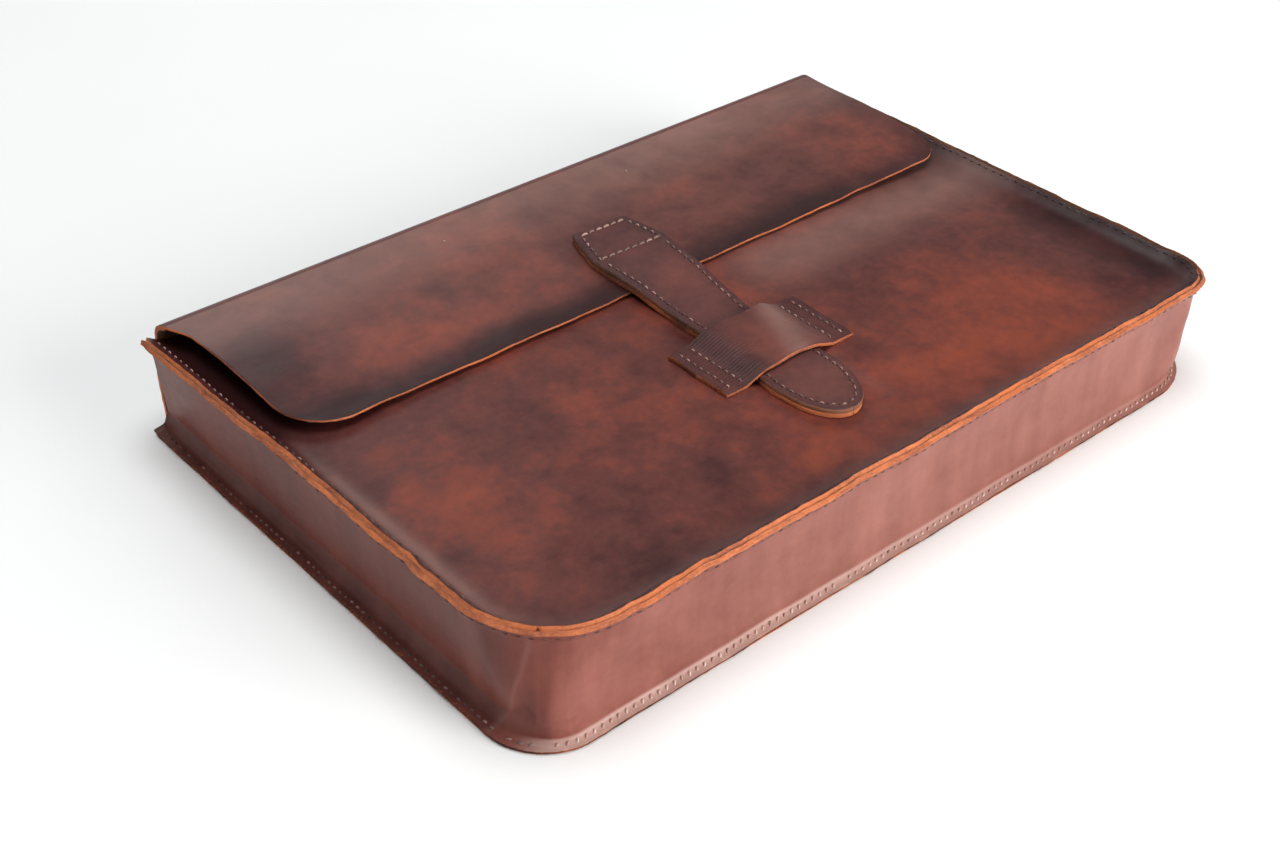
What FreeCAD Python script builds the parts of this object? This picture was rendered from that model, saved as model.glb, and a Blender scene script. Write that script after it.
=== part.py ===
import FreeCAD, Part
import math
import os

# Leather portfolio case lying on its back, in millimetres.
# +X runs along the width, +Y from the bottom seam to the spine, +Z up through the front panel.
# The origin is the centre of the base, on the surface that the case lies on.

V = FreeCAD.Vector
UP = V(0, 0, 1)

# Driving dimensions
case_width = 362.0
case_length = 242.0
leather = 2.0
corner_radius = 24.0
panel_height = 43.0
spine_half_width = 174.0

# Seams: the front one stands out and up at 45 degrees, the base one lies flat on the back panel
seam_flange = 6.0
seam_foot_d = 6.2
wall_foot_d = 9.0
thread_width = 0.9
thread_height = 0.4
thread_groove = 1.3
stitch_inset = 3.2

# Folds of the one hide piece that is back panel, spine and flap
lower_fold = 6.0
upper_fold = 8.0
fold_gap = 0.15
flap_slope = 2.8
flap_half_width = 173.0
flap_edge_half_width = 167.0
flap_edge_y = 24.0
flap_corner = 22.0

# Strap, sewn to the flap and passed under the keeper
strap_top_y = 65.0
strap_shoulder_y = 45.0
strap_waist_y = -22.0
strap_spade_y = -59.0
strap_tip_y = -86.5
strap_top_half = 13.4
strap_shoulder_half = 18.3
strap_waist_half = 12.8
strap_spade_half = 15.9
strap_centre_x = 2.0
strap_tilt = -2.0
strap_split_y = 41.0
strap_split_gap = 0.3
strap_thread_gap = 1.0
strap_clearance = 0.3
strap_cross_row_y = 43.6
strap_stitch_inset = 2.8

# Keeper, sewn to the front panel at both ends
keeper_x = -1.0
keeper_half_length = 33.0
keeper_top_y = -19.0
keeper_bottom_y = -51.5
keeper_foot_half = 21.5
keeper_crown_half = 16.5
keeper_clearance = 0.8
keeper_rows = (23.6, 29.6)
keeper_row_inset = 2.0

# Places worked out from these
left = -case_width / 2
right = case_width / 2
front = -case_length / 2
back = case_length / 2
lower_centre = V(0, back - lower_fold, lower_fold)
mouth_gap = 0.5
mouth_y = back - leather - mouth_gap
root_two = math.sqrt(2)
panel_under = panel_height - leather


def point(u, v):
    return V(u, v, 0)


def left_of(direction):
    return V(-direction.y, direction.x, 0)


def unit(vector):
    return vector / vector.Length


def beside(path, offset, place):
    """Edges that run beside a line with rounded corners, at a signed distance to its left."""
    spots = [point(u, v) for u, v, _ in path]
    along = [unit(b - a) for a, b in zip(spots, spots[1:])]
    start = spots[0] + left_of(along[0]) * offset
    edges = []
    for (_, _, radius), corner, way_in, way_out in zip(path[1:], spots[1:], along, along[1:]):
        cross = way_in.x * way_out.y - way_in.y * way_out.x
        turn = math.atan2(cross, way_in.dot(way_out))
        side = math.copysign(1, turn)
        reach = radius * math.tan(abs(turn) / 2)
        centre = corner - way_in * reach + left_of(way_in) * (side * radius)
        outward = side * (radius - side * offset)
        first = centre - left_of(way_in) * outward
        middle = centre - left_of(unit(way_in + way_out)) * outward
        last = centre - left_of(way_out) * outward
        edges.append(Part.makeLine(place(start), place(first)))
        edges.append(Part.Arc(place(first), place(middle), place(last)).toShape())
        start = last
    end = spots[-1] + left_of(along[-1]) * offset
    edges.append(Part.makeLine(place(start), place(end)))
    return edges, place(spots[0] + left_of(along[0]) * offset), place(end)


def strip(path, low, high, place):
    """Face of a bent strip between two distances to the left of a path of (u, v, bend radius)."""
    near, near_start, near_end = beside(path, low, place)
    far, far_start, far_end = beside(path, high, place)
    caps = [Part.makeLine(near_start, far_start), Part.makeLine(near_end, far_end)]
    return Part.Face(Part.Wire(Part.__sortEdges__(near + far + caps)))


def joined(shapes):
    return shapes[0].fuse(shapes[1:]).removeSplitter()


def at_mouth(spot):
    """Place a section of (distance in from the outline, height) at the left end of the mouth."""
    return V(left + spot.x, mouth_y, spot.y)


def along_length(spot):
    """Place a section of (y, z) in the middle plane of the case."""
    return V(0, spot.x, spot.y)


def around_three_sides(section):
    """Carry a section from the left end of the mouth round the bottom to its right end."""
    side_run = V(0, mouth_y - front - corner_radius, 0)
    left_centre = V(left + corner_radius, front + corner_radius, 0)
    right_centre = V(right - corner_radius, front + corner_radius, 0)
    at_corner = section.translated(-side_run)
    after_corner = at_corner.copy().rotate(left_centre, UP, 90)
    after_bottom = after_corner.translated(right_centre - left_centre)
    on_right = after_bottom.copy().rotate(right_centre, UP, 90)
    return joined([
        section.extrude(-side_run),
        at_corner.revolve(left_centre, UP, 90),
        after_corner.extrude(right_centre - left_centre),
        after_bottom.revolve(right_centre, UP, 90),
        on_right.extrude(side_run),
    ])


def plate_inside(inset, end_y, low, high):
    """Flat plate of the plan outline, moved in by a distance and cut straight at end_y."""
    radius = corner_radius - inset
    wide = right - inset
    near = front + inset
    bow = radius * (1 - 1 / root_two)
    edges = [
        Part.makeLine(V(-wide, end_y, low), V(-wide, near + radius, low)),
        Part.Arc(V(-wide, near + radius, low), V(-wide + bow, near + bow, low),
                 V(-wide + radius, near, low)).toShape(),
        Part.makeLine(V(-wide + radius, near, low), V(wide - radius, near, low)),
        Part.Arc(V(wide - radius, near, low), V(wide - bow, near + bow, low),
                 V(wide, near + radius, low)).toShape(),
        Part.makeLine(V(wide, near + radius, low), V(wide, end_y, low)),
        Part.makeLine(V(wide, end_y, low), V(-wide, end_y, low)),
    ]
    return Part.Face(Part.Wire(edges)).extrude(V(0, 0, high - low))


def fold(centre, outer_radius, first, last, half_width):
    """Part of a rounded fold, between two angles in degrees up from +Y."""

    def spot(radius, angle):
        turn = math.radians(angle)
        return centre + V(-half_width, radius * math.cos(turn), radius * math.sin(turn))

    inner_radius = outer_radius - leather
    middle = (first + last) / 2
    edges = [
        Part.Arc(spot(outer_radius, first), spot(outer_radius, middle), spot(outer_radius, last)).toShape(),
        Part.makeLine(spot(outer_radius, last), spot(inner_radius, last)),
        Part.Arc(spot(inner_radius, last), spot(inner_radius, middle), spot(inner_radius, first)).toShape(),
        Part.makeLine(spot(inner_radius, first), spot(outer_radius, first)),
    ]
    return Part.Face(Part.Wire(edges)).extrude(V(2 * half_width, 0, 0))


def box(low, high):
    size = high - low
    return Part.makeBox(size.x, size.y, size.z, low)


# ---- gusset: one strip round the two sides and the bottom -------------------------------

def seam_line(distance):
    """A place on the 45 degree plane where the flanges of gusset and front panel meet."""
    step = distance / root_two
    return seam_foot_d - step, panel_under + step


def gusset():
    edge_d, edge_z = seam_line(seam_flange)
    path = [
        (0, leather, 0),
        (wall_foot_d, leather, 3.5),
        (seam_foot_d, panel_under, 2.5),
        (edge_d, edge_z, 0),
    ]
    wall = around_three_sides(strip(path, 0, leather, at_mouth))
    room = box(V(-spine_half_width - 1, lower_centre.y, leather / 2), V(spine_half_width + 1, back, lower_fold))
    inside = Part.makeCylinder(lower_fold - leather - 0.3, case_width, V(left, lower_centre.y, lower_fold), V(1, 0, 0))
    return wall.cut(room.cut(inside))


# ---- front panel: flat, with its edge turned up into the seam ---------------------------

def front_panel():
    flat_d = 16.0
    edge_d, edge_z = seam_line(seam_flange)
    path = [
        (flat_d, panel_under, 0),
        (seam_foot_d, panel_under, 3.0),
        (edge_d, edge_z, 0),
    ]
    rim = around_three_sides(strip(path, -leather, 0, at_mouth))
    return joined([plate_inside(flat_d, mouth_y, panel_under, panel_height), rim])


# ---- back panel, spine and flap: one piece of hide, split at its two folds --------------

def gap_angle(radius):
    return math.degrees(fold_gap / radius)


def upper_centre():
    return V(0, back - upper_fold, panel_height + 7 - upper_fold)


def thread_loop(path, offset):
    """A run of thread beside a section's path, stitch_inset from the path's last point."""
    (u0, v0, _), (u1, v1, _) = path[-2:]
    way = unit(point(u1 - u0, v1 - v0))
    end = point(u1, v1) - way * (stitch_inset - thread_width / 2)
    start = end - way * thread_width
    low, high = sorted((offset, offset + math.copysign(thread_height, offset)))
    return around_three_sides(strip([(start.x, start.y, 0), (end.x, end.y, 0)], low, high, at_mouth))


def back_panel():
    plate = plate_inside(0, lower_centre.y, 0, leather)
    tab = box(V(spine_half_width + 0.5, lower_centre.y, 0), V(right, mouth_y, leather))
    other_tab = box(V(left, lower_centre.y, 0), V(-spine_half_width - 0.5, mouth_y, leather))
    half_fold = fold(lower_centre, lower_fold, -90, -45 - gap_angle(lower_fold), spine_half_width)
    whole = joined([plate, half_fold, tab, other_tab])
    middle = stitch_inset - thread_groove / 2
    groove_path = [(middle, 0, 0), (middle + thread_groove, 0, 0)]
    return whole.cut(around_three_sides(strip(groove_path, 0, thread_height + 0.1, at_mouth)))


def spine_panel():
    top = upper_centre()
    flat = box(V(-spine_half_width, back - leather, lower_fold), V(spine_half_width, back, top.z))
    return joined([
        fold(lower_centre, lower_fold, -45 + gap_angle(lower_fold), 0, spine_half_width),
        flat,
        fold(top, upper_fold, 0, 45 - gap_angle(upper_fold), spine_half_width),
    ])


def flap_tangent():
    """Where the flap's top surface leaves the upper fold."""
    lean = math.radians(90 + flap_slope)
    return upper_centre() + V(0, math.cos(lean), math.sin(lean)) * upper_fold


def flap_panel():
    leaves = flap_tangent()
    length = (leaves.y - flap_edge_y) / math.cos(math.radians(flap_slope))
    slant = math.atan2(flap_half_width - flap_edge_half_width, length)
    reach = flap_corner * math.tan((math.pi / 2 - slant) / 2)
    side_x = flap_edge_half_width + reach * math.sin(slant)
    side_y = -length + reach * math.cos(slant)
    # the middle of the corner's arc lies on the line from the corner to the arc's centre
    centre = V(flap_edge_half_width - reach, -length + flap_corner, 0)
    corner = V(flap_edge_half_width, -length, 0)
    middle = centre + unit(corner - centre) * flap_corner
    mirrored = V(-middle.x, middle.y, 0)
    edges = [
        Part.makeLine(V(-flap_half_width, 0, 0), V(-side_x, side_y, 0)),
        Part.Arc(V(-side_x, side_y, 0), mirrored, V(-centre.x, -length, 0)).toShape(),
        Part.makeLine(V(-centre.x, -length, 0), V(centre.x, -length, 0)),
        Part.Arc(V(centre.x, -length, 0), middle, V(side_x, side_y, 0)).toShape(),
        Part.makeLine(V(side_x, side_y, 0), V(flap_half_width, 0, 0)),
        Part.makeLine(V(flap_half_width, 0, 0), V(-flap_half_width, 0, 0)),
    ]
    plate = Part.Face(Part.Wire(edges)).extrude(V(0, 0, -leather))
    plate.rotate(V(0, 0, 0), V(1, 0, 0), flap_slope)
    plate.translate(leaves)
    bend = fold(upper_centre(), upper_fold, 45 + gap_angle(upper_fold), 90 + flap_slope, flap_half_width)
    return joined([bend, plate])


def flap_top(y):
    leaves = flap_tangent()
    return leaves.z - (leaves.y - y) * math.tan(math.radians(flap_slope))


# ---- strap: two layers, sewn to the flap above the split and free below it --------------

def strap_plan(inset):
    """Plan face of the strap, moved in from its edge."""
    top = strap_top_y - inset
    ends = [
        V(-strap_waist_half + inset, strap_waist_y, 0),
        V(-strap_shoulder_half + inset, strap_shoulder_y, 0),
        V(-strap_top_half + inset, top, 0),
        V(strap_top_half - inset, top, 0),
        V(strap_shoulder_half - inset, strap_shoulder_y, 0),
        V(strap_waist_half - inset, strap_waist_y, 0),
    ]
    spade = strap_spade_half - inset
    reach = strap_spade_y - strap_tip_y - inset
    sides = [V(-spade, strap_spade_y, 0), *ends, V(spade, strap_spade_y, 0)]
    edges = [Part.makeLine(a, b) for a, b in zip(sides, sides[1:])]
    tip = Part.Ellipse(V(0, strap_spade_y - reach, 0), V(spade, strap_spade_y, 0), V(0, strap_spade_y, 0))
    edges.append(Part.ArcOfEllipse(tip, -math.pi / 2, math.pi / 2).toShape())
    face = Part.Face(Part.Wire(Part.__sortEdges__(edges)))
    face.rotate(V(0, strap_top_y, 0), UP, strap_tilt)
    face.translate(V(strap_centre_x, 0, 0))
    return face


def strap_band(low, high, start_y, end_y):
    """Band across the case at two heights above what the strap lies on, between two y."""
    settle = 4.0
    rest_y = 6.0
    on_panel = panel_height + strap_clearance
    path = [
        (strap_top_y + 5, flap_top(strap_top_y + 5), 0),
        (strap_split_y, flap_top(strap_split_y), 20.0),
        (strap_split_y - settle, flap_top(strap_split_y - settle) + strap_clearance, 20.0),
        (flap_edge_y - 1, flap_top(flap_edge_y - 1) + strap_clearance, 30.0),
        (rest_y, on_panel, 30.0),
        (strap_tip_y - 5, on_panel, 0),
    ]
    section = strip(path, -high, -low, along_length)
    band = section.translated(V(-40, 0, 0)).extrude(V(80, 0, 0))
    return band.common(box(V(-40, end_y, 0), V(40, start_y, 2 * panel_height)))


def strap_layer(low, high, start_y, end_y):
    prism = strap_plan(0).extrude(V(0, 0, 2 * panel_height))
    return strap_band(low, high, start_y, end_y).common(prism)


def strap_thread(start_y, end_y, cross_rows):
    """The run of thread inside the strap's edge, and its straight rows across the strap."""
    tall = V(0, 0, 2 * panel_height)
    inset = strap_stitch_inset
    whole = strap_plan(inset).extrude(tall)
    loop = whole.cut(strap_plan(inset + thread_width).extrude(tall))
    half = thread_width / 2
    rows = [box(V(-40, y - half, 0), V(40, y + half, tall.z)).common(whole) for y in cross_rows]
    run = joined([loop, *rows]) if rows else loop
    return strap_band(2 * leather, 2 * leather + thread_height, start_y, end_y).common(run)


anchor_from = strap_top_y + 4
anchor_to = strap_split_y + strap_split_gap / 2
tail_from = strap_split_y - strap_split_gap / 2
tail_to = strap_tip_y - 4


# ---- keeper: a leather bridge over the strap, sewn down at both ends --------------------

def keeper():
    crown = panel_height + strap_clearance + 2 * leather + thread_height + keeper_clearance
    path = [
        (-keeper_half_length, panel_height, 0),
        (-keeper_foot_half, panel_height, 2.6),
        (-keeper_crown_half, crown, 3.0),
        (keeper_crown_half, crown, 3.0),
        (keeper_foot_half, panel_height, 2.6),
        (keeper_half_length, panel_height, 0),
    ]
    section = strip(path, 0, leather, lambda spot: V(keeper_x + spot.x, keeper_bottom_y, spot.y))
    return section.extrude(V(0, keeper_top_y - keeper_bottom_y, 0))


def keeper_thread(side):
    """The two rows of stitches at one end of the keeper."""
    low = panel_height + leather
    half = thread_width / 2
    rows = []
    for row in keeper_rows:
        x = keeper_x + side * row
        near = V(x - half, keeper_bottom_y + keeper_row_inset, low)
        far = V(x + half, keeper_top_y - keeper_row_inset, low + thread_height)
        rows.append(box(near, far))
    return Part.makeCompound(rows)


def front_seam_thread():
    edge_d, edge_z = seam_line(seam_flange)
    path = [(seam_foot_d, panel_under, 0), (edge_d, edge_z, 0)]
    return Part.makeCompound([thread_loop(path, -leather), thread_loop(path, leather)])


def base_seam_thread():
    upper_path = [(10, leather, 0), (0, leather, 0)]
    lower_path = [(10, thread_height + 0.05 + leather, 0), (0, thread_height + 0.05 + leather, 0)]
    return Part.makeCompound([thread_loop(upper_path, -leather), thread_loop(lower_path, leather)])


parts = {
    "back_panel": back_panel(),
    "spine_panel": spine_panel(),
    "flap_panel": flap_panel(),
    "gusset": gusset(),
    "front_panel": front_panel(),
    "keeper": keeper(),
    "strap_anchor_lining": strap_layer(0, leather, anchor_from, anchor_to),
    "strap_anchor_face": strap_layer(leather, 2 * leather, anchor_from, anchor_to),
    "strap_tail_lining": strap_layer(0, leather, tail_from, tail_to),
    "strap_tail_face": strap_layer(leather, 2 * leather, tail_from, tail_to),
    "strap_anchor_thread": strap_thread(anchor_from, strap_split_y + strap_thread_gap, [strap_cross_row_y]),
    "strap_edge_thread": strap_thread(strap_split_y - strap_thread_gap, tail_to, []),
    "front_seam_thread": front_seam_thread(),
    "base_seam_thread": base_seam_thread(),
    "keeper_thread_left": keeper_thread(-1),
    "keeper_thread_right": keeper_thread(1),
}

os.makedirs("parts", exist_ok=True)
for name, shape in parts.items():
    shape.exportStep("parts/" + name + ".step")
    low = shape.BoundBox
    print(f"{name}: {len(shape.Solids)} solids, valid {shape.isValid()}, {shape.Volume / 1000:.2f} cm3,",
          f"x {low.XMin:.1f}..{low.XMax:.1f}, y {low.YMin:.1f}..{low.YMax:.1f}, z {low.ZMin:.2f}..{low.ZMax:.2f}")
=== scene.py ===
import math

import bpy
import numpy as np
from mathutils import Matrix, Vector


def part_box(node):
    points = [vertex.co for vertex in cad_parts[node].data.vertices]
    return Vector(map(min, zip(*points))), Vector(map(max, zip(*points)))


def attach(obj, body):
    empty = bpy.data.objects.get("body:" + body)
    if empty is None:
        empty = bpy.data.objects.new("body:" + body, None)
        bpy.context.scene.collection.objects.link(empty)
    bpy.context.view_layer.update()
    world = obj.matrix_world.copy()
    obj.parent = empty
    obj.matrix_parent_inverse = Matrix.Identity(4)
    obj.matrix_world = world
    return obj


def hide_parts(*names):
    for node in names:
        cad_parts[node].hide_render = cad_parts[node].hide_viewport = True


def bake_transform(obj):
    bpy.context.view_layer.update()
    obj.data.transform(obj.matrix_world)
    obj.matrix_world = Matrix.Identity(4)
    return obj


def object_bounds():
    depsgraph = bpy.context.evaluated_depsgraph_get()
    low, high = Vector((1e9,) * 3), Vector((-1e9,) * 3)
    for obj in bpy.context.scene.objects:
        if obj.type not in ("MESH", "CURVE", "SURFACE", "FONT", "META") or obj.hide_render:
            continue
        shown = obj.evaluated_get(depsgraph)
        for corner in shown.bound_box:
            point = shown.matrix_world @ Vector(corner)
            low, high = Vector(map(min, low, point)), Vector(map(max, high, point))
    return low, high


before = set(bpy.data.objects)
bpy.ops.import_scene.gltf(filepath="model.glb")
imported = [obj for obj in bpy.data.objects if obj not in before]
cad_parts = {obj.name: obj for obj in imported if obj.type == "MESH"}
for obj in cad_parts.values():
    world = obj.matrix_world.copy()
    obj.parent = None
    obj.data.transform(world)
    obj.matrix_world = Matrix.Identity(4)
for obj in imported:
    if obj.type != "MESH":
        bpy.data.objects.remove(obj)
cad_low, cad_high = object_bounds()

# A leather portfolio case on its back. Shapes are worked out in millimetres, in the frame of the CAD model:
# +X along the width, +Y from the bottom seam to the spine, +Z up through the front panel.
MM = 0.001
left, front = cad_low.x / MM, cad_low.y / MM
right, back = cad_high.x / MM, cad_high.y / MM
leather = 2
mouth_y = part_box("front_panel")[1].y / MM
spine_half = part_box("spine_panel")[1].x / MM
flap_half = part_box("flap_panel")[1].x / MM
flap_edge_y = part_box("flap_panel")[0].y / MM
keeper_low, keeper_high = [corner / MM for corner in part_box("keeper")]

# The three sewn sides, from the left end of the mouth round the bottom to its right end. A station is a
# distance along them. The marks are where the left side, the left corner, the bottom, the right corner and
# the right side begin and end.
base_radii = (25, 34)
rim_radii = (39, 23)
seam_corner = 24
corner_run = 37.7
side_run = mouth_y - front - seam_corner
front_run = right - left - 2 * seam_corner
marks = np.cumsum([0, side_run, corner_run, front_run, corner_run, side_run])


def smooth(t):
    t = np.clip(t, 0, 1)
    return t * t * (3 - 2 * t)


def past(value, start, width):
    """Zero before start, then an eased climb to one over width; a negative width climbs the other way."""
    return smooth((value - start) / width)


def hump(value, middle, width):
    return np.exp(-((value - middle) / width) ** 2)


def sines(value, lengths, seed):
    """A gentle uneven wave between about -1 and 1."""
    phases = np.random.default_rng(seed).uniform(0, 2 * math.pi, len(lengths))
    waves = [np.sin(2 * math.pi * value / length + phase) for length, phase in zip(lengths, phases)]
    return sum(waves) / len(lengths)


def fading(distance, reach):
    """One up to a place, falling away beyond it."""
    return np.exp(-np.maximum(distance, 0) / reach)


def unit(rows):
    return rows / np.maximum(np.linalg.norm(rows, axis=-1, keepdims=True), 1e-9)


def spread(values, count):
    """One value for each row, repeated along the row."""
    return np.repeat(values[:, None], count, axis=1)


def run_along(points):
    return np.concatenate([[0], np.cumsum(np.linalg.norm(np.diff(points, axis=0), axis=1))])


# ---- lines and outlines ----

def bent_line(path, step, bend_step=10):
    """Points along a line of (u, v, bend radius) with rounded bends, their left-hand normals and runs."""
    spots = np.array([spot[:2] for spot in path], float)
    ways = unit(np.diff(spots, axis=0))
    lefts = np.stack([-ways[:, 1], ways[:, 0]], axis=1)
    points, normals = [], []
    start = spots[0]
    for k in range(len(ways)):
        end = spots[k + 1]
        turn = 0
        if k + 1 < len(ways):
            cross = ways[k][0] * ways[k + 1][1] - ways[k][1] * ways[k + 1][0]
            turn = math.atan2(cross, float(ways[k] @ ways[k + 1]))
            end = spots[k + 1] - ways[k] * path[k + 1][2] * math.tan(abs(turn) / 2)
        pieces = max(1, math.ceil(np.linalg.norm(end - start) / step))
        for j in range(pieces):
            points.append(start + (end - start) * j / pieces)
            normals.append(lefts[k])
        start = end
        if turn:
            side = math.copysign(1, turn)
            radius = path[k + 1][2]
            centre = end + lefts[k] * side * radius
            arcs = max(2, math.ceil(math.degrees(abs(turn)) / bend_step))
            for j in range(arcs):
                angle = turn * j / arcs
                cosine, sine = math.cos(angle), math.sin(angle)
                normal = np.array([lefts[k][0] * cosine - lefts[k][1] * sine,
                                   lefts[k][0] * sine + lefts[k][1] * cosine])
                points.append(centre - normal * side * radius)
                normals.append(normal)
            start = centre - lefts[k + 1] * side * radius
    points.append(start)
    normals.append(lefts[-1])
    points = np.array(points)
    return points, np.array(normals), run_along(points)


def outline(station, radius_left, radius_right):
    """Plan position and outward direction at a station of the three sewn sides."""
    parts = [(station - a) / (b - a) for a, b in zip(marks, marks[1:])]
    zero = np.zeros(np.broadcast(station, radius_left).shape)
    turn_left = parts[1] * math.pi / 2
    turn_right = parts[3] * math.pi / 2
    straight = mouth_y - front
    choices = [station < marks[1], station < marks[2], station < marks[3], station < marks[4]]
    x = np.select(choices, [
        zero + left,
        left + radius_left - radius_left * np.cos(turn_left),
        left + radius_left + parts[2] * (right - left - radius_left - radius_right),
        right - radius_right + radius_right * np.sin(turn_right),
    ], zero + right)
    y = np.select(choices, [
        mouth_y - parts[0] * (straight - radius_left),
        front + radius_left - radius_left * np.sin(turn_left),
        zero + front,
        front + radius_right - radius_right * np.cos(turn_right),
    ], front + radius_right + parts[4] * (straight - radius_right))
    out_x = np.select(choices, [-1, -np.cos(turn_left), 0, np.sin(turn_right)], zero + 1)
    out_y = np.select(choices, [0, -np.sin(turn_left), -1, -np.cos(turn_right)], zero)
    return x, y, out_x, out_y


def inset(x, y, radii):
    """Distance inward from the three sewn sides, the nearest station, and the outward direction."""
    on_left = x < 0
    radius = np.where(on_left, radii[0], radii[1])
    along_x = np.abs(x) - (right - radius)
    along_y = front + radius - y
    at_corner = (along_x > 0) & (along_y > 0)
    at_side = right - np.abs(x) < y - front
    reach = np.hypot(along_x, along_y)
    distance = np.where(at_corner, radius - reach, np.minimum(right - np.abs(x), y - front))
    angle = np.arctan2(along_y, np.maximum(along_x, 1e-6)) / (math.pi / 2)
    down_side = np.clip((mouth_y - y) / (mouth_y - front - radius), 0, 1) * side_run
    across = np.clip((x - left - radii[0]) / (right - left - radii[0] - radii[1]), 0, 1) * front_run
    turned = side_run + angle * corner_run
    station = np.where(at_corner, turned, np.where(at_side, down_side, 0))
    station = np.where(on_left, station, marks[5] - station)
    station = np.where(~at_corner & ~at_side, marks[2] + across, station)
    sign = np.where(on_left, -1, 1)
    out_x = np.where(at_corner, sign * along_x / np.maximum(reach, 1e-6), np.where(at_side, sign, 0))
    out_y = np.where(at_corner, -along_y / np.maximum(reach, 1e-6), np.where(at_side, 0, -1))
    return distance, station, out_x, out_y


def round_corners(x, y, half, edge_y, radii):
    """Move the points of a sheet's two square front corners, left and right, onto quarter discs."""
    for side, radius in zip((-1, 1), radii):
        centre_x, centre_y = side * (half - radius), edge_y + radius
        a = np.clip((x - centre_x) * side / radius, 0, 1)
        b = np.clip((centre_y - y) / radius, 0, 1)
        inside = (a > 0) & (b > 0)
        new_x = centre_x + side * radius * a * np.sqrt(1 - b * b / 2)
        new_y = centre_y - radius * b * np.sqrt(1 - a * a / 2)
        x, y = np.where(inside, new_x, x), np.where(inside, new_y, y)
    return x, y


def spaced(half, near_edge, step):
    """Positions from -half to half, close together near both ends."""
    last = near_edge[-1]
    middle = np.linspace(-(half - last), half - last, max(2, math.ceil(2 * (half - last) / step)) + 1)
    ends = np.array(near_edge[:-1])
    return np.concatenate([ends - half, middle, (half - ends)[::-1]])


def from_edge(length, near_edge, step):
    """Positions from 0 to length, close together near 0."""
    rest = np.linspace(near_edge[-1], length, max(2, math.ceil((length - near_edge[-1]) / step)) + 1)
    return np.concatenate([near_edge[:-1], rest])


# ---- heights that several pieces share ----

def rim_sway(station):
    """How far the sewn rim strays outward and up along its run."""
    out = 0.45 * sines(station, (171, 83, 47), 3) + 0.18 * sines(station, (23, 13), 4)
    out = out + 0.14 * sines(station, (9.1, 6.7), 6)
    up = 0.5 * sines(station, (140, 67, 38), 5)
    for place, size in ((188.5, 0.9), (marks[2] + 8.5, 1), (marks[2] + 40, 0.9), (marks[3] - 60, 0.4)):
        away = (station - place) / 5
        out = out + size * away * np.exp(-away * away)
    return out, up


valley = 41.4
rim_top = 46.66
rim_inset = 3.37
rim_foot = (6.2, 41)
strap_axis_x = -1.5


def rim_slope(station):
    """How steeply the sewn rim stands, in radians."""
    turns = [0, 50, 110, marks[3] + 6, marks[4], marks[5]]
    return np.radians(np.interp(station, turns, [38, 38, 54, 54, 50, 47]))


def leaned(inward, height, station):
    """Tip a point of the rim's section about the foot of the rim."""
    turn = (rim_slope(station) - math.pi / 4) * past(height, 39.5, 3)
    foot_in, foot_up = rim_foot
    out, up = foot_in - inward, height - foot_up
    return (foot_in - out * np.cos(turn) + up * np.sin(turn),
            foot_up + out * np.sin(turn) + up * np.cos(turn))


def panel_plain(x, y):
    """Height of the front panel's top surface, without the press of the strap."""
    distance, station, _, _ = inset(x, y, rim_radii)
    corner_in, corner_up = leaned(rim_inset, rim_top, station)
    slope = np.tan(rim_slope(station))
    foot = corner_in + (corner_up - valley) / slope
    softness = np.interp(station, [marks[3] - 10, marks[4]], [1.1, 2.6])
    climb = np.logaddexp(0, (foot - distance) / softness) / np.logaddexp(0, (foot - corner_in) / softness)
    rise = (corner_up - valley) * climb
    pillow = 2.15 * (1 - np.exp(-(np.maximum(distance - 8, 0) / 34) ** 1.6))
    slow = 0.22 * np.sin(x / 31 + 0.6) * np.sin(y / 23 + 1) * past(distance, 12, 30)
    _, up = rim_sway(station)
    return valley + rise + pillow + slow + up * fading(distance - rim_inset, 4)


def panel_top(x, y):
    pressed = past(np.abs(x - strap_axis_x), 21, -7) * past(y, 12, -30) * past(y, -98, 14)
    return panel_plain(x, y) - 1.7 * pressed


fold_z = 50.4
flap_edge_z = 45.66
hide_path = [(front, 0, 0), (back, 0, 6), (back, fold_z, 8), (flap_edge_y, flap_edge_z, 0)]
spine_split = 24
flap_tilt = math.atan2(fold_z - flap_edge_z, back - flap_edge_y)


def spine_bow(z):
    return 1.7 * np.sin(math.pi * np.clip((z - 5) / 38, 0, 1)) ** 2


def flap_lift(x, y):
    """The flap's sides stand up from the slope of its middle, and its corners curl a little."""
    side = past(np.abs(x), 70, 100)
    along = past(y, 112, -40) * (1 - 0.62 * past(y, 62, -36))
    edge = hump(y, flap_edge_y, 7)
    ripple = 0.25 * sines(x, (97, 54, 31), 11) * edge
    return 2.7 * side * along + ripple + 0.2 * edge


def flap_top(x, y):
    return flap_edge_z + (y - flap_edge_y) * math.tan(flap_tilt) + flap_lift(x, y)


def strap_under(x, y):
    """What the strap lies on: the flap, then a short bridge down to the front panel."""
    bridge = past(y, 3, flap_edge_y - 4)
    on_flap = flap_top(x, np.maximum(y, flap_edge_y)) + 0.08
    on_panel = panel_top(x, y) + 0.12
    return on_panel + (on_flap - on_panel) * bridge


# ---- meshes ----

def placed(name, data):
    """A new object in the scene."""
    made = bpy.data.objects.new(name, data)
    bpy.context.scene.collection.objects.link(made)
    return made


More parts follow.
